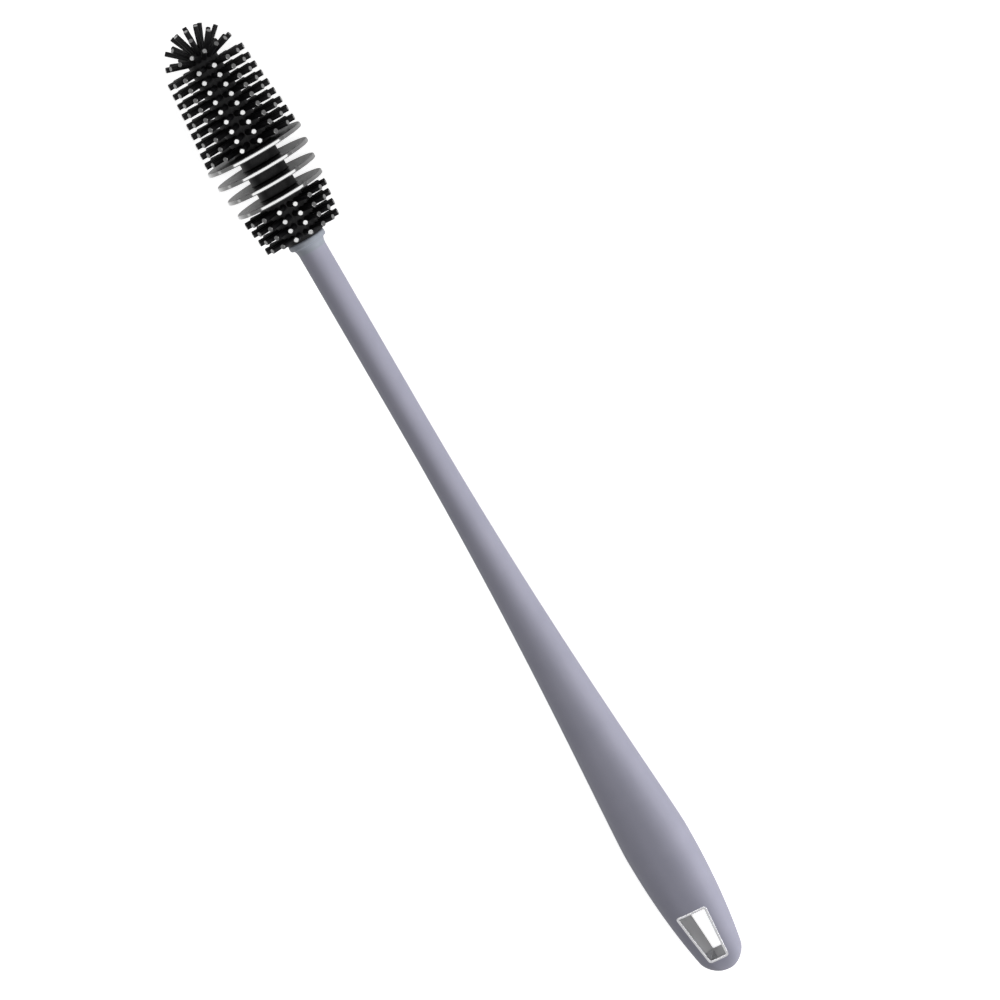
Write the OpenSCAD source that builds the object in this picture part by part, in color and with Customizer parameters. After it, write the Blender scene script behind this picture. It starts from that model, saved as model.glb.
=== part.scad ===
// Long-handled bottle brush, lying at rest with its head to +X.
//
// A soft head (sleeve, scraper discs and bristles in one moulding) is pulled
// over the stem of a one-piece handle, down to its collar. The handle is a
// round shaft that swells into an oval grip, with a plated liner in the
// hanging slot at the butt.
//
// Two coordinates run along the brush: station s, from the butt of the
// handle, and height h, from the seat of the head on the collar.

/* [Grip] */
// Length from the butt to the seat of the head on the collar
handle_len = 252; // [210:1:320]
// Greatest width of the grip
grip_w = 20.3; // [17:0.1:26]
// Greatest thickness of the grip
grip_t = 15; // [12:0.5:18]
// Station of the widest place
grip_peak = 46; // [38:1:60]
// Length over which the grip narrows from its widest place to the shaft
taper_len = 149; // [110:1:165]
// How late the shaft begins to swell, as an exponent
taper_swell = 2.05; // [1.4:0.05:2.4]
// How gently the swell levels out at the widest place, as an exponent
peak_round = 1.2; // [1:0.05:1.6]
// Squareness of the grip's section, 2 being an ellipse
grip_square = 2.7; // [2.6:0.05:3.2]
// Width that the grip's sides run down to at the butt
butt_w = 11.7; // [9:0.1:15]
// Thickness that the grip's faces run down to at the butt
butt_t = 7.4; // [6.4:0.2:10]
// How late the grip draws in towards the butt, as an exponent
butt_swell = 2.2; // [1.8:0.05:3]
// Length of the rounded end
butt_round = 6; // [4.5:0.5:8]

/* [Shaft and collar] */
// Diameter of the round shaft
shaft_d = 8.5; // [7.5:0.1:10]
// Diameter of the collar that the head seats on
collar_d = 11.4; // [10.6:0.2:13]
// Length of the collar
collar_len = 1.9; // [1.6:0.1:4]
// Radius of the collar's edges
collar_edge = 0.6; // [0.3:0.1:0.7]
// Length of the cove from the collar to the shaft
cove_len = 2.3; // [1:0.1:5]
// Diameter of the stem inside the head
stem_d = 6; // [5:0.1:6.6]
// Length of the stem above the collar
stem_len = 49; // [35:1:50]
// Radius at the end of the stem
stem_round = 1.5; // [0.5:0.1:2.4]

/* [Hanging slot] */
// Length of solid grip between the slot and the butt
slot_web = 5.4; // [4.5:0.2:9]
// Length of the slot in the grip
slot_len = 17.6; // [13:0.2:20]
// Width of the slot at its wide end, towards the head
slot_wide = 9.9; // [8:0.1:11]
// Width of the slot at its narrow end, towards the butt
slot_narrow = 6.4; // [6:0.1:7.6]
// Corner radius of the slot
slot_corner = 0.9; // [0.9:0.1:1.8]
// Wall of the slot's liner
liner_wall = 0.7; // [0.4:0.05:0.8]
// Height that the liner stands proud of the grip
liner_proud = 0.08; // [0.02:0.02:0.2]

/* [Head] */
// Diameter of the sleeve through the discs
sleeve_d = 11.6; // [10.6:0.2:13]
// Diameter of the sleeve where its dome begins
dome_d = 9.2; // [9:0.1:10]
// Clearance round the stem in the sleeve
stem_gap = 0.05; // [0.02:0.01:0.2]
// Number of scraper discs
discs = 4; // [2:1:6]
// Diameter of the disc nearest the tip
disc_d = 30; // [26:0.5:36]
// How much narrower each disc is than the one before it
disc_drop = 0.9; // [0:0.1:1.5]
// Spacing of the discs
disc_pitch = 4.8; // [3.5:0.1:7]
// Thickness of a disc
disc_t = 1.2; // [0.8:0.1:2]
// Radius at each edge of a disc's flat rim
disc_edge = 0.25; // [0.1:0.05:0.4]
// Radius where a disc meets the sleeve
disc_fillet = 0.5; // [0.2:0.1:0.8]

/* [Bristles] */
// Number of bristles in each row round the sleeve
columns = 16; // [12:2:16]
// Angle of a bristle column from the middle of the grip's face
head_turn = 4; // [0:0.5:22]
// Diameter of a bristle at its root
bristle_root_d = 1.7; // [1.2:0.05:1.75]
// Diameter of a bristle at its end
bristle_end_d = 1.55; // [1:0.05:1.7]
// Radius at the edge of a bristle's end
bristle_edge = 0.25; // [0.1:0.05:0.45]
// Spacing of the rows along the sleeve
row_pitch = 3.03; // [2.4:0.05:4]
// Number of rows between the collar and the discs
low_rows = 4; // [2:1:6]
// Height of the lowest row above the collar
low_start = 1.9; // [1.4:0.1:4]
// Diameter across the ends of the lowest row
low_first_d = 23.8; // [20:0.2:28]
// Diameter across the ends of the row just under the discs
low_last_d = 26.5; // [22:0.2:30]
// Spacing from the last of those rows to the first disc
low_gap = 3.3; // [2.4:0.1:5]
// Number of rows between the discs and the crown
high_rows = 9; // [5:1:12]
// Spacing from the last disc to the first of those rows
high_gap = 2.6; // [2.2:0.1:5]
// Diameter across the ends of the row just above the discs
high_first_d = 29.2; // [24:0.2:34]
// Diameter across the ends of the row nearest the crown
high_last_d = 24.5; // [20:0.2:28]

/* [Crown] */
// Height of the dome's centre above the last row
dome_gap = 1.4; // [0.8:0.1:2.5]
// Radius from the dome's centre to the ends of the crown's bristles
crown_r = 11.1; // [8:0.1:14]
// Diameter of a crown bristle at its root
crown_root_d = 1.45; // [1:0.05:1.45]
// Diameter of a crown bristle at its end
crown_end_d = 1.4; // [0.8:0.05:1.45]
// Number of bristles in each of the two upper crown rings
crown_columns = 8; // [6:1:8]
// Elevation of the full crown ring, which follows the columns
full_ring_tilt = 17; // [16:1:25]
// Elevation of the middle crown ring
mid_ring_tilt = 42; // [40:1:48]
// Elevation of the upper crown ring
top_ring_tilt = 66; // [63:1:68]

/* [Hidden] */

// Smoothness: sides of the grip's section, bands along the grip, sides of a
// round part, and steps in a profile's arc
section_sides = 50;
butt_bands = 8;
palm_bands = 12;
taper_bands = 26;
round_sides = 64;
arc_steps = 5;

// The grip's loft is a hair slimmer than the shaft that it runs into, and
// ends inside it
lap_step = 0.02;
lap_len = 1;
// Depth of a bristle's root below the surface that carries it
root_depth = 0.9;
// Share of the stem's free length left open at the end of its socket
socket_spare = 0.4;

// Places along the brush
shaft_r = shaft_d/2;
taper_end = grip_peak + taper_len;
slot_start = slot_web;
slot_end = slot_web + slot_len;
low_end = low_start + (low_rows - 1)*row_pitch;
disc_start = low_end + low_gap;
disc_end = disc_start + (discs - 1)*disc_pitch;
high_start = disc_end + high_gap;
high_end = high_start + (high_rows - 1)*row_pitch;
dome_h = high_end + dome_gap;
head_len = dome_h + crown_r;
brush_len = handle_len + head_len;

// How the brush lies: on its widest disc, at the lower end of the flat rim,
// and on the grip's face. The support line is the shallowest one from that
// rim that clears the grip.
rest_disc_s = handle_len + disc_end - disc_t/2 + disc_edge;
rest_disc_r = disc_d/2;
lie_slope = min([for (s = [butt_round : 0.5 : taper_end])
    (rest_disc_r - face_reach(s))/(rest_disc_s - s)]);
lie_angle = atan(lie_slope);
lie_height = rest_disc_r*cos(lie_angle) - rest_disc_s*sin(lie_angle);

// ---- Shapes along the grip ----

// Swell of the grip between the shaft (0) and its widest place (1)
function swell(s) =
    let (x = max(0, min(1, (taper_end - s)/taper_len)))
    1 - pow(1 - pow(x, taper_swell), peak_round);

// Draw-in of the grip between its widest place (0) and the butt (1)
function draw_in(s) = pow(max(0, grip_peak - s)/grip_peak, butt_swell);

// Rounding of the butt, 0 at its end and 1 where the rounding begins
function butt_cap(s) =
    s >= butt_round ? 1 : sqrt(max(0, 1 - pow(1 - s/butt_round, 2)));

// Half of the grip's size at station s, for a greatest size and a butt size
function grip_half(s, full, butt) =
    let (slim_r = shaft_r - lap_step)
    butt_cap(s)*(slim_r + (full/2 - slim_r)*swell(s) - (full - butt)/2*draw_in(s));

// Reach of the grip's face from the axis, with the liner's lip on it
function face_reach(s) =
    grip_half(s, grip_t, butt_t) + (s >= slot_start && s <= slot_end ? liner_proud : 0);

// Point of a rounded oval with half sizes a and b at angle t
function oval_point(a, b, t, square) =
    [a*sign(cos(t))*pow(abs(cos(t)), 2/square),
     b*sign(sin(t))*pow(abs(sin(t)), 2/square)];

// Stations of the loft's rings, close together round the butt
function grip_stations() = concat(
    [for (i = [1 : butt_bands]) butt_round*(1 - cos(90*i/butt_bands))],
    [for (i = [1 : palm_bands]) butt_round + (grip_peak - butt_round)*i/palm_bands],
    [for (i = [1 : taper_bands]) grip_peak + taper_len*i/taper_bands],
    [taper_end + lap_len]);

// The oval grip, lofted through its rings; skin makes it that much fuller
module grip_loft(skin = 0) {
    stations = grip_stations();
    rings = len(stations);
    points = concat(
        [[0, 0, 0]],
        [for (s = stations, j = [0 : section_sides - 1])
            let (square = 2 + (grip_square - 2)*swell(s),
                 p = oval_point(grip_half(s, grip_w, butt_w) + skin,
                                grip_half(s, grip_t, butt_t) + skin,
                                360*j/section_sides, square))
            [s, p[0], p[1]]],
        [[taper_end + lap_len, 0, 0]]);
    last = len(points) - 1;
    function at(i, j) = 1 + i*section_sides + j % section_sides;
    faces = concat(
        [for (j = [0 : section_sides - 1]) [0, at(0, j), at(0, j + 1)]],
        [for (i = [0 : rings - 2], j = [0 : section_sides - 1])
            each [[at(i, j), at(i + 1, j), at(i + 1, j + 1)],
                  [at(i, j), at(i + 1, j + 1), at(i, j + 1)]]],
        [for (j = [0 : section_sides - 1]) [last, at(rings - 1, j + 1), at(rings - 1, j)]]);
    polyhedron(points, faces);
}

// ---- Hanging slot ----

// Angle of the slot's long sides to the axis
slot_flare = atan((slot_wide - slot_narrow)/2/slot_len);

// Half width of the slot at station s, drawn in by an inset
function slot_half(s, inset) =
    slot_narrow/2 + (s - slot_start)*tan(slot_flare) - inset/cos(slot_flare);

// Outline of the slot drawn in by an inset: four arcs, from the wide end round
function slot_outline(inset) =
    let (r = slot_corner - inset,
         wide_s = slot_end - inset - r,
         narrow_s = slot_start + inset + r,
         wide_y = slot_half(wide_s, inset + r),
         narrow_y = slot_half(narrow_s, inset + r),
         side = 90 + slot_flare)
    concat(
        [for (i = [0 : arc_steps]) [wide_s, wide_y] + r*toward(side*i/arc_steps)],
        [for (i = [0 : arc_steps]) [narrow_s, narrow_y] + r*toward(side + (180 - side)*i/arc_steps)],
        [for (i = [0 : arc_steps]) [narrow_s, -narrow_y] + r*toward(180 + (180 - side)*i/arc_steps)],
        [for (i = [0 : arc_steps]) [wide_s, -wide_y] + r*toward(360 - side + side*i/arc_steps)]);

function toward(a) = [cos(a), sin(a)];

module slot_prism(inset, depth) {
    translate([0, 0, -depth/2]) linear_extrude(height = depth) polygon(slot_outline(inset));
}

// ---- Turned shapes ----

// Quarter arc of a profile about a centre, from angle a0 to a1
function arc(centre, rx, ry, a0, a1) =
    [for (i = [0 : arc_steps])
        let (a = a0 + (a1 - a0)*i/arc_steps) centre + [rx*cos(a), ry*sin(a)]];

// A closed profile of [radius, station] points turned about the brush's axis
module turned(profile) {
    rotate([0, 90, 0]) rotate_extrude($fn = round_sides) polygon(profile);
}

// Shaft, cove, collar and stem in one profile
module shaft_and_stem() {
    cove_end = handle_len - collar_len;
    cove_out = collar_d/2 - collar_edge - shaft_r;
    stem_top = handle_len + stem_len;
    turned(concat(
        [[0, taper_end], [shaft_r, taper_end]],
        arc([shaft_r + cove_out, cove_end - cove_len], -cove_out, cove_len, 0, 90),
        arc([collar_d/2 - collar_edge, cove_end + collar_edge], collar_edge, collar_edge, -90, 0),
        arc([collar_d/2 - collar_edge, handle_len - collar_edge], collar_edge, collar_edge, 0, 90),
        [[stem_d/2, handle_len]],
        arc([stem_d/2 - stem_round, stem_top - stem_round], stem_round, stem_round, 0, 90),
        [[0, stem_top]]));
}

// Profile of one disc, from its lower fillet to its upper one
function disc_profile(h, r) =
    let (half = disc_t/2, root = sleeve_d/2)
    concat(
        arc([root + disc_fillet, h - half - disc_fillet], -disc_fillet, disc_fillet, 0, 90),
        arc([r - disc_edge, h - half + disc_edge], disc_edge, disc_edge, -90, 0),
        arc([r - disc_edge, h + half - disc_edge], disc_edge, disc_edge, 0, 90),
        arc([root + disc_fillet, h + half + disc_fillet], -disc_fillet, -disc_fillet, 90, 0));

// Sleeve with its discs, its dome and the blind socket for the stem
module sleeve() {
    socket_r = stem_d/2 + stem_gap;
    socket_top = stem_len + socket_spare;
    turned(concat(
        [[socket_r, 0], [sleeve_d/2, 0]],
        [for (i = [0 : discs - 1])
            each disc_profile(disc_start + i*disc_pitch,
                              disc_d/2 - (discs - 1 - i)*disc_drop/2)],
        arc([0, dome_h], dome_d/2, dome_d/2, 0, 90),
        [[0, socket_top]],
        arc([socket_r - stem_round, socket_top - stem_round], stem_round, stem_round, 90, 0)));
}

// One bristle that leans up from the axis by tilt degrees, with its root
// buried below from_r and its end at to_r
module bristle(from_r, to_r, root_d, end_d, tilt) {
    len = to_r - from_r;
    rotate([0, -tilt, 0]) translate([from_r, 0, 0]) rotate([0, 90, 0])
        rotate_extrude($fn = round_sides)
            polygon(concat(
                [[0, 0], [root_d/2, 0]],
                arc([end_d/2 - bristle_edge, len - bristle_edge], bristle_edge, bristle_edge, 0, 90),
                [[0, len]]));
}

// A ring of bristles about the head's axis at height h
module ring(h, count, turn, from_r, to_r, root_d, end_d, tilt = 0) {
    translate([h, 0, 0]) rotate([0, 90, 0])
        for (i = [0 : count - 1])
            rotate([0, 0, turn + i*360/count]) bristle(from_r, to_r, root_d, end_d, tilt);
}

// Radius of the sleeve's surface at height h
function sleeve_r(h) =
    h <= disc_end ? sleeve_d/2
    : sleeve_d/2 + (dome_d - sleeve_d)/2*(h - disc_end)/(dome_h - disc_end);

// Rows of bristles from height h0 up, from one end diameter to another
module rows(count, h0, first_d, last_d) {
    for (i = [0 : count - 1]) {
        h = h0 + i*row_pitch;
        ring(h, columns, head_turn, sleeve_r(h) - root_depth,
             (first_d + (last_d - first_d)*i/(count - 1))/2, bristle_root_d, bristle_end_d);
    }
}

// The crown: a full ring on the columns, two rings between them, and the tip
module crown() {
    from_r = dome_d/2 - root_depth;
    between = head_turn + 180/columns;
    ring(dome_h, columns, head_turn, from_r, crown_r, crown_root_d, crown_end_d, full_ring_tilt);
    ring(dome_h, crown_columns, between, from_r, crown_r, crown_root_d, crown_end_d, mid_ring_tilt);
    ring(dome_h, crown_columns, between, from_r, crown_r, crown_root_d, crown_end_d, top_ring_tilt);
    ring(dome_h, 1, 0, from_r, crown_r, crown_root_d, crown_end_d, 90);
}

// Lays the brush down: the axis along +X and tipped up to the head, with the
// middle of its length over the origin
module laid() {
    translate([-brush_len*cos(lie_angle)/2, 0, lie_height])
        rotate([0, -lie_angle, 0]) children();
}

// ---- Nodes ----

module brush_head() {
    color([0.09, 0.09, 0.10]) laid() translate([handle_len, 0, 0]) union() {
        sleeve();
        rows(low_rows, low_start, low_first_d, low_last_d);
        rows(high_rows, high_start, high_first_d, high_last_d);
        crown();
    }
}

module handle() {
    color([0.52, 0.52, 0.59]) laid() difference() {
        union() {
            grip_loft();
            shaft_and_stem();
        }
        slot_prism(0, 2*grip_t);
    }
}

module hang_slot_liner() {
    color([0.82, 0.83, 0.85]) laid() intersection() {
        grip_loft(liner_proud);
        difference() {
            slot_prism(0, 2*grip_t);
            slot_prism(liner_wall, 3*grip_t);
        }
    }
}

brush_head();
handle();
hang_slot_liner();
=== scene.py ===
import math

import bmesh
import bpy
import numpy as np
from mathutils import Matrix, Vector


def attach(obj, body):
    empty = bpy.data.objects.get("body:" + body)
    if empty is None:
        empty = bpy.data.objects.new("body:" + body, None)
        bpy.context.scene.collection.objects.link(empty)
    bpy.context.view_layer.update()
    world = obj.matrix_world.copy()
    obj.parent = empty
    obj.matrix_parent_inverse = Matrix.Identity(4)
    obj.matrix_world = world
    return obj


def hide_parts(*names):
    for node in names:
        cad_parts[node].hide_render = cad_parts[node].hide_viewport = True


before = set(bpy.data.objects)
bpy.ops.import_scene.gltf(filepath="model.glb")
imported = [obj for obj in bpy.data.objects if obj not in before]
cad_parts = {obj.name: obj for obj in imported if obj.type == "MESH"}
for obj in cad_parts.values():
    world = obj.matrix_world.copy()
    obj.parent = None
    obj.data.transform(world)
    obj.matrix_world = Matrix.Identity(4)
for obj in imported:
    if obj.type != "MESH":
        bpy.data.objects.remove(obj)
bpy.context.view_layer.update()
bpy.context.scene.view_settings.view_transform = "Standard"

# ---- Sizes that the solids have too: lengths in millimetres, turns and leans in degrees ----

ROUND = 2.0  # squareness of a section: 2 is an ellipse, more is squarer

# Grip and shaft, by station from the butt
GRIP_W, GRIP_T = 20.3, 15.0
GRIP_PEAK, TAPER_LEN = 46.0, 149.0
TAPER_SWELL, PEAK_ROUND = 2.05, 1.2
GRIP_SQUARE = 2.7
BUTT_W, BUTT_T, BUTT_SWELL, BUTT_ROUND = 11.7, 7.4, 2.2, 6.0
SHAFT_R = 4.25
HANDLE_LEN = 252.0
COLLAR_R, COLLAR_LEN, COLLAR_EDGE, COVE_LEN = 5.7, 1.9, 0.6, 2.3
STEM_R, STEM_LEN, STEM_ROUND = 3.0, 49.0, 1.5

# Hanging slot and its liner
SLOT_START, SLOT_LEN = 5.4, 17.6
SLOT_WIDE, SLOT_NARROW, SLOT_CORNER = 9.9, 6.4, 0.9
LINER_WALL, LINER_PROUD = 0.7, 0.08

# Head, by height from the collar
SLEEVE_R, BORE_R, DOME_R = 5.8, 3.05, 4.6
DISCS, DISC_R, DISC_DROP, DISC_PITCH = 4, 15.0, 0.45, 4.8
DISC_T, DISC_EDGE, DISC_FILLET = 1.2, 0.25, 0.5
COLUMNS, CROWN_COLUMNS, HEAD_TURN, ROW_PITCH = 16, 8, 4.0, 3.03
LOW_ROWS, LOW_START, HIGH_ROWS = 4, 1.9, 9
ROWS_TO_DISCS, DISCS_TO_ROWS, ROWS_TO_DOME = 3.3, 2.6, 1.4
DISC_START = LOW_START + (LOW_ROWS - 1)*ROW_PITCH + ROWS_TO_DISCS
DISC_END = DISC_START + (DISCS - 1)*DISC_PITCH
HIGH_START = DISC_END + DISCS_TO_ROWS
HIGH_END = HIGH_START + (HIGH_ROWS - 1)*ROW_PITCH
DOME_H = HIGH_END + ROWS_TO_DOME
CROWN_R, FULL_RING, MIDDLE_RING, UPPER_RING = 11.1, 17, 42, 66
BRUSH_LEN = HANDLE_LEN + DOME_H + CROWN_R

# Bristles: reach of the first and last row's ends, radius at root and end
LOW_REACH, HIGH_REACH, CROWN_REACH = (11.9, 13.25), (14.6, 12.25), (CROWN_R, CROWN_R)
ROW_BRISTLE, CROWN_BRISTLE = (0.85, 0.775), (0.725, 0.7)

# ---- What only the dressed meshes have ----

PER_METRE = 1000.0
GRIP_SIDES, HEAD_SIDES, BRISTLE_SIDES = 128, 96, 12
SHARP_ON_GRIP, SHARP_ON_HEAD = 32, 40  # an edge that turns by more degrees is shaded sharp
SLOT_TUCK, CUTTER_REACH = 0.02, 15.0
SLEEVE_EDGE, ROOT_BURY = 0.2, 0.35
WANDER = 0.008  # how far a bristle leans its own way, as a share of its length
SKIN = 0.03  # the dressed surface stays this much inside a turned solid's widest reach
RING_GAP = 0.04  # two rings this close keep a change of polish sharp

# What a point's polish says: how glossy the head is there, and whether the handle is coated
SATIN, PARTLY_GLOSSY, GLOSSY = 0.0, 0.4, 1.0
COATED, BARE = 0.0, 1.0


# ---- Node helpers ----

class Nodes:
    """Adds nodes to a tree, with inputs given as values or as other nodes' sockets."""

    def __init__(self, tree):
        self.tree = tree

    def add(self, kind, out=0, props=None, **inputs):
        node = self.tree.nodes.new(kind)
        for name, value in (props or {}).items():
            setattr(node, name, value)
        for name, value in inputs.items():
            by_number = name[0] == "i" and name[1:].isdigit()
            self.put(node.inputs[int(name[1:]) if by_number else name], value)
        return node.outputs[out] if out is not None else node

    def put(self, socket, value):
        if isinstance(value, bpy.types.NodeSocket):
            self.tree.links.new(value, socket)
        else:
            socket.default_value = value

    def math(self, what, a, b=0.0, c=0.0):
        return self.add("ShaderNodeMath", props={"operation": what}, i0=a, i1=b, i2=c)

    def vector(self, what, a, out=0, **inputs):
        return self.add("ShaderNodeVectorMath", out, {"operation": what}, i0=a, **inputs)

    def between(self, start, end, share):
        """The value that lies a share of the way from start to end."""
        return self.math("MULTIPLY_ADD", self.math("SUBTRACT", end, start), share, start)

    def remap(self, value, low, high, new_low, new_high):
        return self.add("ShaderNodeMapRange", Value=value, i1=low, i2=high, i3=new_low, i4=new_high)

    def noise(self, where, scale, detail, roughness):
        return self.add("ShaderNodeTexNoise", Vector=where, Scale=scale, Detail=detail, Roughness=roughness)

    def two_tones(self, pattern, first, second, first_at, second_at):
        """A colour that goes from one tone to another as the pattern rises."""
        ramp = self.add("ShaderNodeValToRGB", out=None, Fac=pattern)
        for stop, place, tone in zip(ramp.color_ramp.elements, (first_at, second_at), (first, second)):
            stop.position = place
            stop.color = tone
        return ramp.outputs["Color"]


def named_tree(name, sizes):
    """A geometry tree with named inputs: the geometry, the sizes and the finish."""
    tree = bpy.data.node_groups.new(name, "GeometryNodeTree")
    tree.interface.new_socket("Geometry", in_out="INPUT", socket_type="NodeSocketGeometry")
    for label, kind in sizes:
        tree.interface.new_socket(label, in_out="INPUT", socket_type=kind)
    tree.interface.new_socket("Finish", in_out="INPUT", socket_type="NodeSocketMaterial")
    tree.interface.new_socket("Geometry", in_out="OUTPUT", socket_type="NodeSocketGeometry")
    nodes = Nodes(tree)
    given = nodes.add("NodeGroupInput", out=None)
    return nodes, {s.name: s for s in given.outputs if s.name}


def close_tree(nodes, geometry, finish):
    solid = nodes.add("GeometryNodeRealizeInstances", Geometry=geometry)
    smooth = nodes.add("GeometryNodeSetShadeSmooth", Geometry=solid)
    done = nodes.add("GeometryNodeSetMaterial", Geometry=smooth, Material=finish)
    nodes.add("NodeGroupOutput", out=None, Geometry=done)


def run_tree(obj, tree, values):
    """Runs a tree on an object and leaves a plain mesh."""
    ids = {s.name: s.identifier for s in tree.interface.items_tree if s.in_out == "INPUT"}
    mod = obj.modifiers.new(tree.name, "NODES")
    mod.node_group = tree
    for label, value in values.items():
        mod[ids[label]] = value
    bake_modifiers(obj)


def bake_modifiers(obj):
    """Leaves the object with the plain mesh that its modifiers make."""
    evaluated = obj.evaluated_get(bpy.context.evaluated_depsgraph_get())
    mesh = bpy.data.meshes.new_from_object(evaluated)
    obj.modifiers.clear()
    old = obj.data
    obj.data = mesh
    bpy.data.meshes.remove(old)


def new_object(name, verts, faces, attributes=()):
    """An object in the scene, with a number for each point under each attribute's name."""
    mesh = bpy.data.meshes.new(name)
    mesh.from_pydata([tuple(v) for v in verts], [], faces)
    for label, values in attributes:
        attribute = mesh.attributes.new(label, "FLOAT", "POINT")
        attribute.data.foreach_set("value", np.asarray(values, np.float32))
    obj = bpy.data.objects.new(name, mesh)
    bpy.context.scene.collection.objects.link(obj)
    return obj


def tube_faces(count, sides):
    """The quads between rings of points, each ring's points after the last one's."""
    faces = []
    for i in range(count - 1):
        near, far = i*sides, (i + 1)*sides
        faces += [(near + j, near + (j + 1) % sides, far + (j + 1) % sides, far + j) for j in range(sides)]
    return faces


# ---- Lofted and turned bodies ----

RING_SIZES = ("station", "half_width", "half_thickness", "squareness", "polish")


def lofted_body_tree():
    """Puts each ring point on a rounded oval, by the sizes and the turn that the point carries."""
    n, given = named_tree("lofted body", [])

    def read(name):
        return n.add("GeometryNodeInputNamedAttribute", props={"data_type": "FLOAT"}, Name=name)

    square = read("squareness")

    def share(wave):
        return n.math("POWER", n.math("ABSOLUTE", wave), square)

    turn = read("turn")
    side = n.math("COSINE", turn)
    top = n.math("SINE", turn)
    full = n.math("POWER", n.math("ADD", share(side), share(top)), n.math("DIVIDE", 1.0, square))
    across = n.math("DIVIDE", n.math("MULTIPLY", read("half_width"), side), full)
    up = n.math("DIVIDE", n.math("MULTIPLY", read("half_thickness"), top), full)
    place = n.add("ShaderNodeCombineXYZ", X=read("station"), Y=across, Z=up)
    body = n.add("GeometryNodeSetPosition", Geometry=given["Geometry"], Position=place)
    close_tree(n, body, given["Finish"])
    return n.tree


def loft(name, rings, sides, finish):
    """A closed body through rings, each given by its RING_SIZES."""
    rings = np.array(rings, float)
    count = len(rings)
    # the two points that close the ends lie on the axis
    ends = {"station": [rings[0, 0], rings[-1, 0]], "squareness": [ROUND, ROUND]}
    data = [(label, np.append(np.repeat(rings[:, column], sides), ends.get(label, [0, 0])))
            for column, label in enumerate(RING_SIZES)]
    data.append(("turn", np.append(np.tile(np.arange(sides)*2*math.pi/sides, count), [0, 0])))
    first, last, top = count*sides, count*sides + 1, (count - 1)*sides
    faces = tube_faces(count, sides)
    faces += [(first, (j + 1) % sides, j) for j in range(sides)]
    faces += [(last, top + j, top + (j + 1) % sides) for j in range(sides)]
    obj = new_object(name, np.zeros((count*sides + 2, 3)), faces, data)
    run_tree(obj, LOFTED_BODY, {"Finish": finish})
    for label in ("station", "half_width", "half_thickness", "squareness", "turn"):
        obj.data.attributes.remove(obj.data.attributes[label])
    return obj


def quarter(centre_s, centre_r, size_s, size_r, from_deg, to_deg, steps=6):
    """Points (station, radius) on part of an ellipse, its angle counted from the radius."""
    return [(centre_s + size_s*math.sin(math.radians(a)), centre_r + size_r*math.cos(math.radians(a)))
            for a in np.linspace(from_deg, to_deg, steps)]


def swell(s):
    """How far the section has grown from the shaft's to the grip's."""
    x = min(1.0, max(0.0, (GRIP_PEAK + TAPER_LEN - s)/TAPER_LEN))
    return 1 - (1 - x**TAPER_SWELL)**PEAK_ROUND


def grip_half(s, full, butt):
    """Half width or half thickness at station s, from its size at the peak and at the butt."""
    draw = (max(0.0, GRIP_PEAK - s)/GRIP_PEAK)**BUTT_SWELL
    cap = 1.0 if s >= BUTT_ROUND else math.sqrt(max(0.0, 1 - (1 - s/BUTT_ROUND)**2))
    return cap*(SHAFT_R + (full/2 - SHAFT_R)*swell(s) - (full - butt)/2*draw)


def grip_square(s):
    return ROUND + (GRIP_SQUARE - ROUND)*swell(s)


def face_height(s, y):
    """Height of the grip's face over the axis at station s, y to the side."""
    n = grip_square(s)
    half_width = grip_half(s, GRIP_W, BUTT_W)
    return grip_half(s, GRIP_T, BUTT_T)*max(0.0, 1 - abs(y/half_width)**n)**(1/n)


def laid():
    """Places the brush as it lies: on the rim of its widest disc and on the face of the grip."""
    rim_s = HANDLE_LEN + DISC_END - DISC_T/2 + DISC_EDGE

    def depth(s):
        lip = LINER_PROUD if SLOT_START <= s <= SLOT_START + SLOT_LEN else 0.0
        return grip_half(s, GRIP_T, BUTT_T) + lip

    step = 0.5
    stations = np.arange(BUTT_ROUND, GRIP_PEAK + TAPER_LEN, step)
    angle = math.atan(min((DISC_R - depth(s))/(rim_s - s) for s in stations))
    height = DISC_R*math.cos(angle) - rim_s*math.sin(angle)
    centre = (-BRUSH_LEN*math.cos(angle)/2/PER_METRE, 0, height/PER_METRE)
    return Matrix.Translation(centre) @ Matrix.Rotation(-angle, 4, "Y") @ Matrix.Scale(1/PER_METRE, 4)


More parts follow.
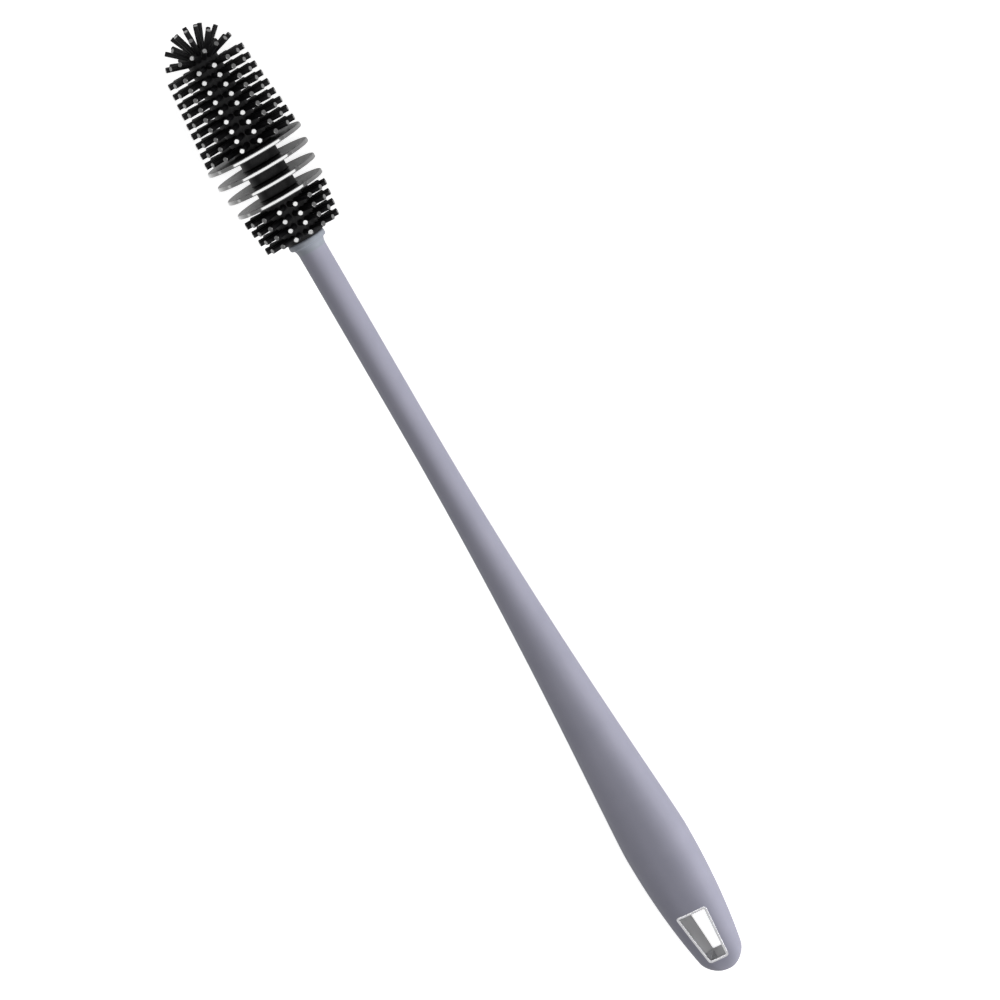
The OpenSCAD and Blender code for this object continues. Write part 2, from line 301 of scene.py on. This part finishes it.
def handle_rings():
    """Rings of the handle: rounded butt, grip, shaft, cove, collar and stem."""
    cap_rings, grip_step, shaft_step = 20, 1.2, 5.0
    past_cap, past_taper, hair = 0.8, 1.0, 0.01
    taper_end = GRIP_PEAK + TAPER_LEN
    stations = [BUTT_ROUND*(1 - math.cos(math.radians(90*i/cap_rings))) for i in range(1, cap_rings + 1)]
    stations += list(np.arange(BUTT_ROUND + past_cap, taper_end, grip_step))
    stations += list(np.arange(taper_end + past_taper, HANDLE_LEN - shaft_step, shaft_step))
    rings = [(s, grip_half(s, GRIP_W, BUTT_W), grip_half(s, GRIP_T, BUTT_T), grip_square(s))
             for s in stations]

    cove_end, cove_out = HANDLE_LEN - COLLAR_LEN, COLLAR_R - COLLAR_EDGE - SHAFT_R
    rim_r, stem_end = COLLAR_R - COLLAR_EDGE, HANDLE_LEN + STEM_LEN - STEM_ROUND
    turned = quarter(cove_end - COVE_LEN, SHAFT_R + cove_out, COVE_LEN, -cove_out, 0, 90, 9)
    turned += quarter(cove_end + COLLAR_EDGE, rim_r, COLLAR_EDGE, COLLAR_EDGE, -85, 0)
    turned += quarter(HANDLE_LEN - COLLAR_EDGE, rim_r, COLLAR_EDGE, COLLAR_EDGE, 0, 90)
    turned += [(HANDLE_LEN, STEM_R), (stem_end, STEM_R)]
    turned += quarter(stem_end, STEM_R - STEM_ROUND, STEM_ROUND, STEM_ROUND, 15, 90)
    rings += [(s, r, r, ROUND) for s, r in turned]

    # the soft coating ends where the cove begins, and the cove's first ring is still coated
    coating_end = cove_end - COVE_LEN + hair
    return [ring + (BARE if ring[0] > coating_end else COATED,) for ring in rings]


# ---- Hanging slot ----

def slot_outline(inset):
    """Closed outline of the slot drawn in by an inset, with its outward directions."""
    corner_steps, longest_step = 8, 0.7
    flare = math.atan((SLOT_WIDE - SLOT_NARROW)/2/SLOT_LEN)
    r, side, full_turn = SLOT_CORNER - inset, math.pi/2 + flare, 2*math.pi

    def half(s):
        return SLOT_NARROW/2 + (s - SLOT_START)*math.tan(flare) - SLOT_CORNER/math.cos(flare)

    wide_s, narrow_s = SLOT_START + SLOT_LEN - SLOT_CORNER, SLOT_START + SLOT_CORNER
    corners = [
        (wide_s, half(wide_s), 0, side),
        (narrow_s, half(narrow_s), side, math.pi),
        (narrow_s, -half(narrow_s), math.pi, full_turn - side),
        (wide_s, -half(wide_s), full_turn - side, full_turn)]
    points = []
    for s, y, start, end in corners:
        for a in np.linspace(start, end, corner_steps + 1):
            points.append((s + r*math.cos(a), y + r*math.sin(a), math.cos(a), math.sin(a)))
    # the long sides are cut up too, so that the lip follows the curve of the grip
    full = []
    for p, q in zip(points, points[1:] + points[:1]):
        steps = max(1, int(math.hypot(q[0] - p[0], q[1] - p[1])/longest_step))
        full += [tuple(p[k] + (q[k] - p[k])*t/steps for k in range(4)) for t in range(steps)]
    return full


def cut_slot(handle):
    """Cuts the slot a hair narrower than the liner, so that no gap shows between them."""
    outline = slot_outline(SLOT_TUCK)
    count = len(outline)
    verts = [(s, y, z) for z in (-CUTTER_REACH, CUTTER_REACH) for s, y, _, _ in outline]
    faces = [tuple(reversed(range(count))), tuple(range(count, 2*count))] + tube_faces(2, count)
    cutter = new_object("slot cutter", verts, faces)
    cut = handle.modifiers.new("slot", "BOOLEAN")
    cut.operation = "DIFFERENCE"
    cut.solver = "EXACT"
    cut.object = cutter
    bake_modifiers(handle)
    bpy.data.objects.remove(cutter)
    merge_doubles(handle)


def merge_doubles(obj):
    """Merges the points that a cut leaves almost on top of each other."""
    nearer_than = 0.001
    work = bmesh.new()
    work.from_mesh(obj.data)
    bmesh.ops.remove_doubles(work, verts=work.verts, dist=nearer_than)
    work.to_mesh(obj.data)
    work.free()


def slot_liner(finish):
    """A thin plated ring: its lips follow both faces of the grip and its wall runs between them."""
    # (inset from the slot's outline, height over the face) from the lip's outer edge to the wall
    lip = [(0.0, -0.5), (-0.12, 0.0), (-0.08, 0.05), (0.05, LINER_PROUD), (0.4, LINER_PROUD),
           (0.58, 0.04), (0.67, -0.08), (LINER_WALL, -0.28)]
    rows = []
    for s, y, ns, ny in slot_outline(0.0):
        upper = [(s - d*ns, y - d*ny, face_height(s - d*ns, y - d*ny) + h) for d, h in lip]
        wall = upper[-1]
        middle = [(wall[0], wall[1], wall[2]*k) for k in (0.75, 0.5, 0.25, 0.0, -0.25, -0.5, -0.75)]
        rows.append(upper + middle + [(a, b, -c) for a, b, c in reversed(upper)])
    count, deep = len(rows), len(rows[0])
    faces = []
    for i in range(count):
        near, far = i*deep, (i + 1) % count*deep
        faces += [(near + j, far + j, far + (j + 1) % deep, near + (j + 1) % deep) for j in range(deep)]
    liner = new_object("slot_liner_ring", [p for row in rows for p in row], faces)
    liner.data.materials.append(finish)
    for face in liner.data.polygons:
        face.use_smooth = True
    return liner


# ---- Soft head ----

def sleeve_r(h):
    return SLEEVE_R + (DOME_R - SLEEVE_R)*max(0.0, h - DISC_END)/(DOME_H - DISC_END)


def disc_profile(h, r):
    """One disc at height h: fillet, face, rim, face and fillet, as (height, radius, polish)."""
    half, root, band = DISC_T/2, SLEEVE_R + DISC_FILLET, 3.0
    foot = quarter(h - half - DISC_FILLET, root, DISC_FILLET, -DISC_FILLET, 0, 90, 5)
    rim = quarter(h - half + DISC_EDGE, r - DISC_EDGE, DISC_EDGE, DISC_EDGE, -90, 0)
    rim.append((h - half + DISC_EDGE + RING_GAP, r))
    face = [foot[-1], (h - half, r - band), (h - half, r - DISC_EDGE - RING_GAP)]
    lower = [(s, q, SATIN) for s, q in foot[:-1]]
    lower += [(s, q, PARTLY_GLOSSY) for s, q in face]
    lower += [(s, q, GLOSSY) for s, q in rim]
    return lower + [(2*h - s, q, polish) for s, q, polish in reversed(lower)]


def sleeve_profile():
    """Sleeve, discs and dome as (height, radius, polish), with the collar's seat closed."""
    first_ring, ring_step, clear_of_disc, past_discs, cone_rings = 1.0, 1.2, 0.2, 0.4, 22
    half_edge = 0.06
    plain = [(0.0, BORE_R), (0.0, SLEEVE_R - SLEEVE_EDGE)]
    plain += [(half_edge, SLEEVE_R - half_edge), (SLEEVE_EDGE, SLEEVE_R)]
    discs_begin = DISC_START - DISC_T/2 - DISC_FILLET
    plain += [(h, SLEEVE_R) for h in np.arange(first_ring, discs_begin - clear_of_disc, ring_step)]
    profile = [(h, r, SATIN) for h, r in plain]
    for i in range(DISCS):
        profile += disc_profile(DISC_START + i*DISC_PITCH, DISC_R - SKIN - (DISCS - 1 - i)*DISC_DROP)
    start = DISC_END + DISC_T/2 + DISC_FILLET + past_discs
    profile += [(h, sleeve_r(h), SATIN) for h in np.linspace(start, DOME_H, cone_rings)[:-1]]
    profile += [(h, r, SATIN) for h, r in quarter(DOME_H, 0.0, DOME_R, DOME_R, 0, 88, 14)]
    return profile


def bristle_shape(name, root_r, end_r, length):
    """One round bristle of unit height with a softly edged flat end and a flared root."""
    edge, inner_edge, flare, flare_height, sides = 0.12, 0.05, 1.3, 0.6, BRISTLE_SIDES
    knee = 0.3*edge
    rings = [(0.0, root_r*flare), (flare_height/length, root_r), (1 - edge/length, end_r),
             (1 - knee/length, end_r - knee), (1.0, end_r - edge), (1.0, end_r - edge - inner_edge)]
    polish = np.repeat([SATIN, SATIN, SATIN, GLOSSY, GLOSSY, GLOSSY], sides)
    angles = np.arange(sides)*2*math.pi/sides
    verts = [(r*math.cos(a), r*math.sin(a), z) for z, r in rings for a in angles]
    faces = tube_faces(len(rings), sides)
    faces.append(tuple(range((len(rings) - 1)*sides, len(rings)*sides)))
    faces.append(tuple(reversed(range(sides))))
    return new_object(name, verts, faces, [("polish", polish)])


def bristle_rings_tree():
    """Rings of bristles about the head's axis, each one leaning a hair its own way."""
    number, whole = "NodeSocketFloat", "NodeSocketInt"
    n, given = named_tree("bristle rings", [
        ("Rings", whole), ("Columns", whole), ("First height", number), ("Ring spacing", number),
        ("Turn", number), ("Lean", number), ("First root reach", number), ("Last root reach", number),
        ("First end reach", number), ("Last end reach", number), ("Wander", number), ("Seed", whole)])
    cloud = n.add("GeometryNodePoints", Count=n.math("MULTIPLY", given["Rings"], given["Columns"]))
    index = n.add("GeometryNodeInputIndex")
    ring = n.math("FLOOR", n.math("DIVIDE", n.math("ADD", index, 0.5), given["Columns"]))
    column = n.math("SUBTRACT", index, n.math("MULTIPLY", ring, given["Columns"]))
    gaps = n.math("MAXIMUM", n.math("SUBTRACT", given["Rings"], 1.0), 1.0)
    along = n.math("DIVIDE", ring, gaps)

    step = n.math("DIVIDE", 2*math.pi, given["Columns"])
    turn = n.math("MULTIPLY_ADD", column, step, given["Turn"])
    flat = n.math("COSINE", given["Lean"])
    aim = n.add("ShaderNodeCombineXYZ", X=n.math("SINE", given["Lean"]),
                Y=n.math("MULTIPLY", n.math("MULTIPLY", n.math("SINE", turn), flat), -1.0),
                Z=n.math("MULTIPLY", n.math("COSINE", turn), flat))
    stray = n.add("FunctionNodeRandomValue", props={"data_type": "FLOAT_VECTOR"},
                  i0=(-1, -1, -1), i1=(1, 1, 1), ID=index, Seed=given["Seed"])
    stray = n.vector("SCALE", stray, Scale=given["Wander"])
    leaning = n.vector("NORMALIZE", n.vector("ADD", aim, i1=stray))

    root = n.between(given["First root reach"], given["Last root reach"], along)
    end = n.between(given["First end reach"], given["Last end reach"], along)
    height = n.math("MULTIPLY_ADD", ring, given["Ring spacing"], given["First height"])
    base = n.vector("ADD", n.add("ShaderNodeCombineXYZ", X=height), i1=n.vector("SCALE", aim, Scale=root))
    length = n.add("ShaderNodeCombineXYZ", X=1.0, Y=1.0, Z=n.math("SUBTRACT", end, root))
    placed = n.add("GeometryNodeSetPosition", Geometry=cloud, Position=base)
    facing = n.add("FunctionNodeAlignRotationToVector", props={"axis": "Z"}, Vector=leaning)
    grown = n.add("GeometryNodeInstanceOnPoints", Points=placed, Instance=given["Geometry"],
                  Rotation=facing, Scale=length)
    close_tree(n, grown, given["Finish"])
    return n.tree


def bristles(finish, name, seed, rings, columns, height, lean, turn, root, end, radii):
    """Rings of bristles. Angles are in degrees, root and end give the first and last ring's reach."""
    obj = bristle_shape(name, radii[0], radii[1], end[0] - root[0])
    run_tree(obj, BRISTLE_RINGS, {
        "Rings": rings, "Columns": columns, "First height": height, "Ring spacing": ROW_PITCH,
        "Turn": math.radians(turn), "Lean": math.radians(lean),
        "First root reach": root[0], "Last root reach": root[1],
        "First end reach": end[0], "Last end reach": end[1],
        "Wander": WANDER, "Seed": seed, "Finish": finish})
    return obj


def soft_head(finish):
    """The sleeve with its discs, its rows of bristles and its crown, as one piece."""
    sleeve = loft("soft_head", [(h, r, r, ROUND, polish) for h, r, polish in sleeve_profile()],
                  HEAD_SIDES, finish)
    low_root = (SLEEVE_R - ROOT_BURY,)*2
    high_root = [sleeve_r(h) - ROOT_BURY for h in (HIGH_START, HIGH_END)]
    crown_root = (DOME_R - ROOT_BURY,)*2
    crown = (crown_root, CROWN_REACH, CROWN_BRISTLE)
    between = HEAD_TURN + 180/COLUMNS
    # name, seed, rings, columns, height, lean, turn, root reach, end reach, radii
    rows = [
        ("low rows", 3, LOW_ROWS, COLUMNS, LOW_START, 0, HEAD_TURN, low_root, LOW_REACH, ROW_BRISTLE),
        ("high rows", 5, HIGH_ROWS, COLUMNS, HIGH_START, 0, HEAD_TURN, high_root, HIGH_REACH, ROW_BRISTLE),
        ("full crown ring", 7, 1, COLUMNS, DOME_H, FULL_RING, HEAD_TURN, *crown),
        ("middle crown ring", 9, 1, CROWN_COLUMNS, DOME_H, MIDDLE_RING, between, *crown),
        ("upper crown ring", 11, 1, CROWN_COLUMNS, DOME_H, UPPER_RING, between, *crown),
        ("tip bristle", 13, 1, 1, DOME_H, 90, 0, *crown)]
    join(sleeve, [bristles(finish, *row) for row in rows])
    sleeve.data.transform(Matrix.Translation((HANDLE_LEN, 0, 0)))
    return sleeve


def join(first, others):
    with bpy.context.temp_override(active_object=first, selected_editable_objects=[first] + others):
        bpy.ops.object.join()


# ---- Finishes ----

GREY_DEEP, GREY_PALE, GREY_BARE = (0.215, 0.215, 0.268, 1), (0.230, 0.229, 0.284, 1), (0.203, 0.219, 0.252, 1)
BLACK_DEEP, BLACK_PALE = (0.0050, 0.0050, 0.0054, 1), (0.0075, 0.0073, 0.0080, 1)
CHROMIUM = (0.55, 0.55, 0.565, 1)
WHITE, FLOOR_GREY = (1, 1, 1, 1), (0.8, 0.8, 0.8, 1)


def new_finish(name):
    mat = bpy.data.materials.new(name)
    mat.use_nodes = True
    return mat, Nodes(mat.node_tree), mat.node_tree.nodes["Principled BSDF"].inputs


def object_place(n):
    return n.add("ShaderNodeTexCoord", out="Object")


def polish_of(n):
    return n.add("ShaderNodeAttribute", out="Fac", props={"attribute_name": "polish"})


def soft_touch_grey():
    """Grey soft-touch coating, fine in grain and a little cloudy. The collar is bare and cooler."""
    mat, n, skin = new_finish("soft touch grey")
    bare, where = polish_of(n), object_place(n)
    cloud = n.noise(where, scale=90.0, detail=3.0, roughness=0.55)
    grain = n.noise(where, scale=5200.0, detail=2.0, roughness=0.6)
    tone = n.two_tones(cloud, GREY_DEEP, GREY_PALE, first_at=0.35, second_at=0.65)
    shade = n.add("ShaderNodeMix", out=2, props={"data_type": "RGBA"}, i0=bare, i6=tone, i7=GREY_BARE)
    n.put(skin["Base Color"], shade)
    bare_roughness = 0.5
    coated_roughness = n.remap(grain, low=0.3, high=0.7, new_low=0.50, new_high=0.60)
    n.put(skin["Roughness"], n.between(coated_roughness, bare_roughness, bare))
    skin["Specular IOR Level"].default_value = 0.5
    n.put(skin["Normal"], n.add("ShaderNodeBump", Height=grain, Strength=0.12, Distance=0.00004))
    return mat


def black_silicone():
    """Black silicone: satin on the sleeve and the bristles' sides, glossy on ends and rims."""
    mat, n, skin = new_finish("black silicone")
    where = object_place(n)
    smear = n.noise(where, scale=420.0, detail=3.0, roughness=0.6)
    polish = polish_of(n)
    n.put(skin["Base Color"], n.two_tones(smear, BLACK_DEEP, BLACK_PALE, first_at=0.3, second_at=0.7))
    glossy_roughness, satin_level, glossy_extra = 0.12, 0.1, 0.8
    satin_roughness = n.remap(smear, low=0.3, high=0.7, new_low=0.36, new_high=0.46)
    n.put(skin["Roughness"], n.between(satin_roughness, glossy_roughness, polish))
    n.put(skin["Specular IOR Level"], n.math("MULTIPLY_ADD", polish, glossy_extra, satin_level))
    n.put(skin["Coat Weight"], polish)
    skin["Coat Roughness"].default_value = 0.10
    skin["Coat IOR"].default_value = 1.6
    return mat


def bright_plating():
    """Bright chromium plating, which reflects a little over half of the light, with faint haze."""
    mat, n, skin = new_finish("bright plating")
    haze = n.noise(object_place(n), scale=700.0, detail=2.0, roughness=0.5)
    n.put(skin["Roughness"], n.remap(haze, low=0.35, high=0.75, new_low=0.05, new_high=0.12))
    skin["Base Color"].default_value = CHROMIUM
    skin["Metallic"].default_value = 1.0
    return mat


# ---- Camera, floor and light, in metres ----

def camera():
    """Looks steeply down on the brush, with the head at the upper left."""
    lens, sensor, nearest, farthest = 132.566, 36.0, 0.05, 50.0
    place = (0.1805215, -0.2969584, 1.0163476)
    turn = Matrix((
        (-0.4854133, 0.8572782, 0.1716041),
        (-0.8601073, -0.4330485, -0.2696004),
        (-0.1568098, -0.2784656, 0.9475588)))
    data = bpy.data.cameras.new("camera")
    data.lens = lens
    data.sensor_width = sensor
    data.clip_start = nearest
    data.clip_end = farthest
    cam = bpy.data.objects.new("camera", data)
    bpy.context.scene.collection.objects.link(cam)
    cam.matrix_world = Matrix.Translation(place) @ turn.to_4x4()
    bpy.context.scene.camera = cam


def seen_as_background(n):
    """1 for rays that come from the camera or off something glossy or clear."""
    rays = n.add("ShaderNodeLightPath", out=None).outputs
    seen = n.math("MAXIMUM", rays["Is Camera Ray"], rays["Is Glossy Ray"])
    return n.math("MAXIMUM", seen, rays["Is Transmission Ray"])


def pale_floor():
    """A matt floor that reads white. Close round the brush, what shines shows the floor's real shade."""
    size, brush_reach, shade_from, shade_to = 6.0, 0.15, 0.012, 0.035
    glow_from, glow_to, near_glow = 0.4, 1.6, 0.72
    corners = [(-size, -size, 0), (size, -size, 0), (size, size, 0), (-size, size, 0)]
    floor = new_object("floor", corners, [(0, 1, 2, 3)])
    mat, n, skin = new_finish("pale floor")
    skin["Base Color"].default_value = FLOOR_GREY
    skin["Roughness"].default_value = 1.0
    skin["Specular IOR Level"].default_value = 0.0
    skin["Emission Color"].default_value = WHITE
    where = object_place(n)
    glow = n.remap(n.vector("LENGTH", where, out="Value"), glow_from, glow_to, near_glow, 1.0)
    spot = n.add("ShaderNodeSeparateXYZ", out=None, Vector=where).outputs
    past_end = n.math("MAXIMUM", n.math("SUBTRACT", n.math("ABSOLUTE", spot["X"]), brush_reach), 0.0)
    aside = n.vector("LENGTH", n.add("ShaderNodeCombineXYZ", X=past_end, Y=spot["Y"]), out="Value")
    clear = n.remap(aside, shade_from, shade_to, 0.0, 1.0)
    from_camera = n.add("ShaderNodeLightPath", out="Is Camera Ray")
    seen = n.math("MAXIMUM", from_camera, n.math("MULTIPLY", seen_as_background(n), clear))
    n.put(skin["Emission Strength"], n.math("MULTIPLY", seen, glow))
    floor.data.materials.append(mat)


def white_surround(strength):
    """White where it is seen, and a faint fill of the given strength on the brush and floor."""
    world = bpy.data.worlds.new("surround")
    bpy.context.scene.world = world
    world.use_nodes = True
    n = Nodes(world.node_tree)
    back = world.node_tree.nodes["Background"].inputs
    back["Color"].default_value = WHITE
    n.put(back["Strength"], n.math("MULTIPLY_ADD", seen_as_background(n), 1.0 - strength, strength))


# name, bearings, x, aim x, length along the brush, width round it, radiance, mirrored
LAMPS = [
    ("low side strip", (86,), -0.6, 0.0, 0.8, 0.2, 46.0, False),
    ("side softbox", (66,), -0.6, 0.0, 0.8, 0.2, 6.0, True),
    ("back fill", (-86,), -0.1, 0.0, 1.2, 0.2, 1.5, True),
    ("overhead strip", (-22, 17, 56), -0.022, 0.1, 0.142, 0.85, 6.8, True),
    ("tip strip", (-11, 38), 0.69, 0.14, 0.14, 0.14, 7.5, True)]


def softbox(name, bearing, x, aim_x, size_x, size_round, radiance, mirrored):
    """A lamp round the brush: bearing 0 is overhead and 90 level with it on the -Y side.

    A lamp that isn't mirrored lights surfaces without showing in what shines.
    """
    turn = math.radians(bearing)
    reach, aim_height, clearance = 1.2, 0.01, 0.005
    height = max(reach*math.cos(turn), size_round/2 + clearance)
    place = Vector((x, -reach*math.sin(turn), height))
    data = bpy.data.lights.new(name, "AREA")
    data.shape = "RECTANGLE"
    data.size = size_x
    data.size_y = size_round
    data.energy = radiance*math.pi*size_x*size_round
    lamp = bpy.data.objects.new(name, data)
    back = (place - Vector((aim_x, 0, aim_height))).normalized()
    side = (Vector((1, 0, 0)) - back*back.x).normalized()
    turned = Matrix((side, back.cross(side), back)).transposed().to_4x4()
    lamp.matrix_world = Matrix.Translation(place) @ turned
    lamp.visible_camera = False
    lamp.visible_glossy = mirrored
    bpy.context.scene.collection.objects.link(lamp)


# ---- The brush ----

camera()
LOFTED_BODY = lofted_body_tree()
BRISTLE_RINGS = bristle_rings_tree()

black = black_silicone()
grey = soft_touch_grey()
plating = bright_plating()

head = soft_head(black)
grip = loft("grip_and_shaft", handle_rings(), GRIP_SIDES, grey)
cut_slot(grip)
grip.data.set_sharp_from_angle(angle=math.radians(SHARP_ON_GRIP))
liner = slot_liner(plating)

place = laid()
for piece, node, slot in ((head, "brush_head", "head_silicone"), (grip, "handle", "handle_grey"),
                          (liner, "hang_slot_liner", "liner_chrome")):
    piece.data.transform(place)
    piece.data.update()
    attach(piece, "root")
    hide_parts(node)
head.data.set_sharp_from_angle(angle=math.radians(SHARP_ON_HEAD))

pale_floor()
white_surround(strength=0.08)
for name, bearings, *sizes in LAMPS:
    for bearing in bearings:
        softbox(name, bearing, *sizes)
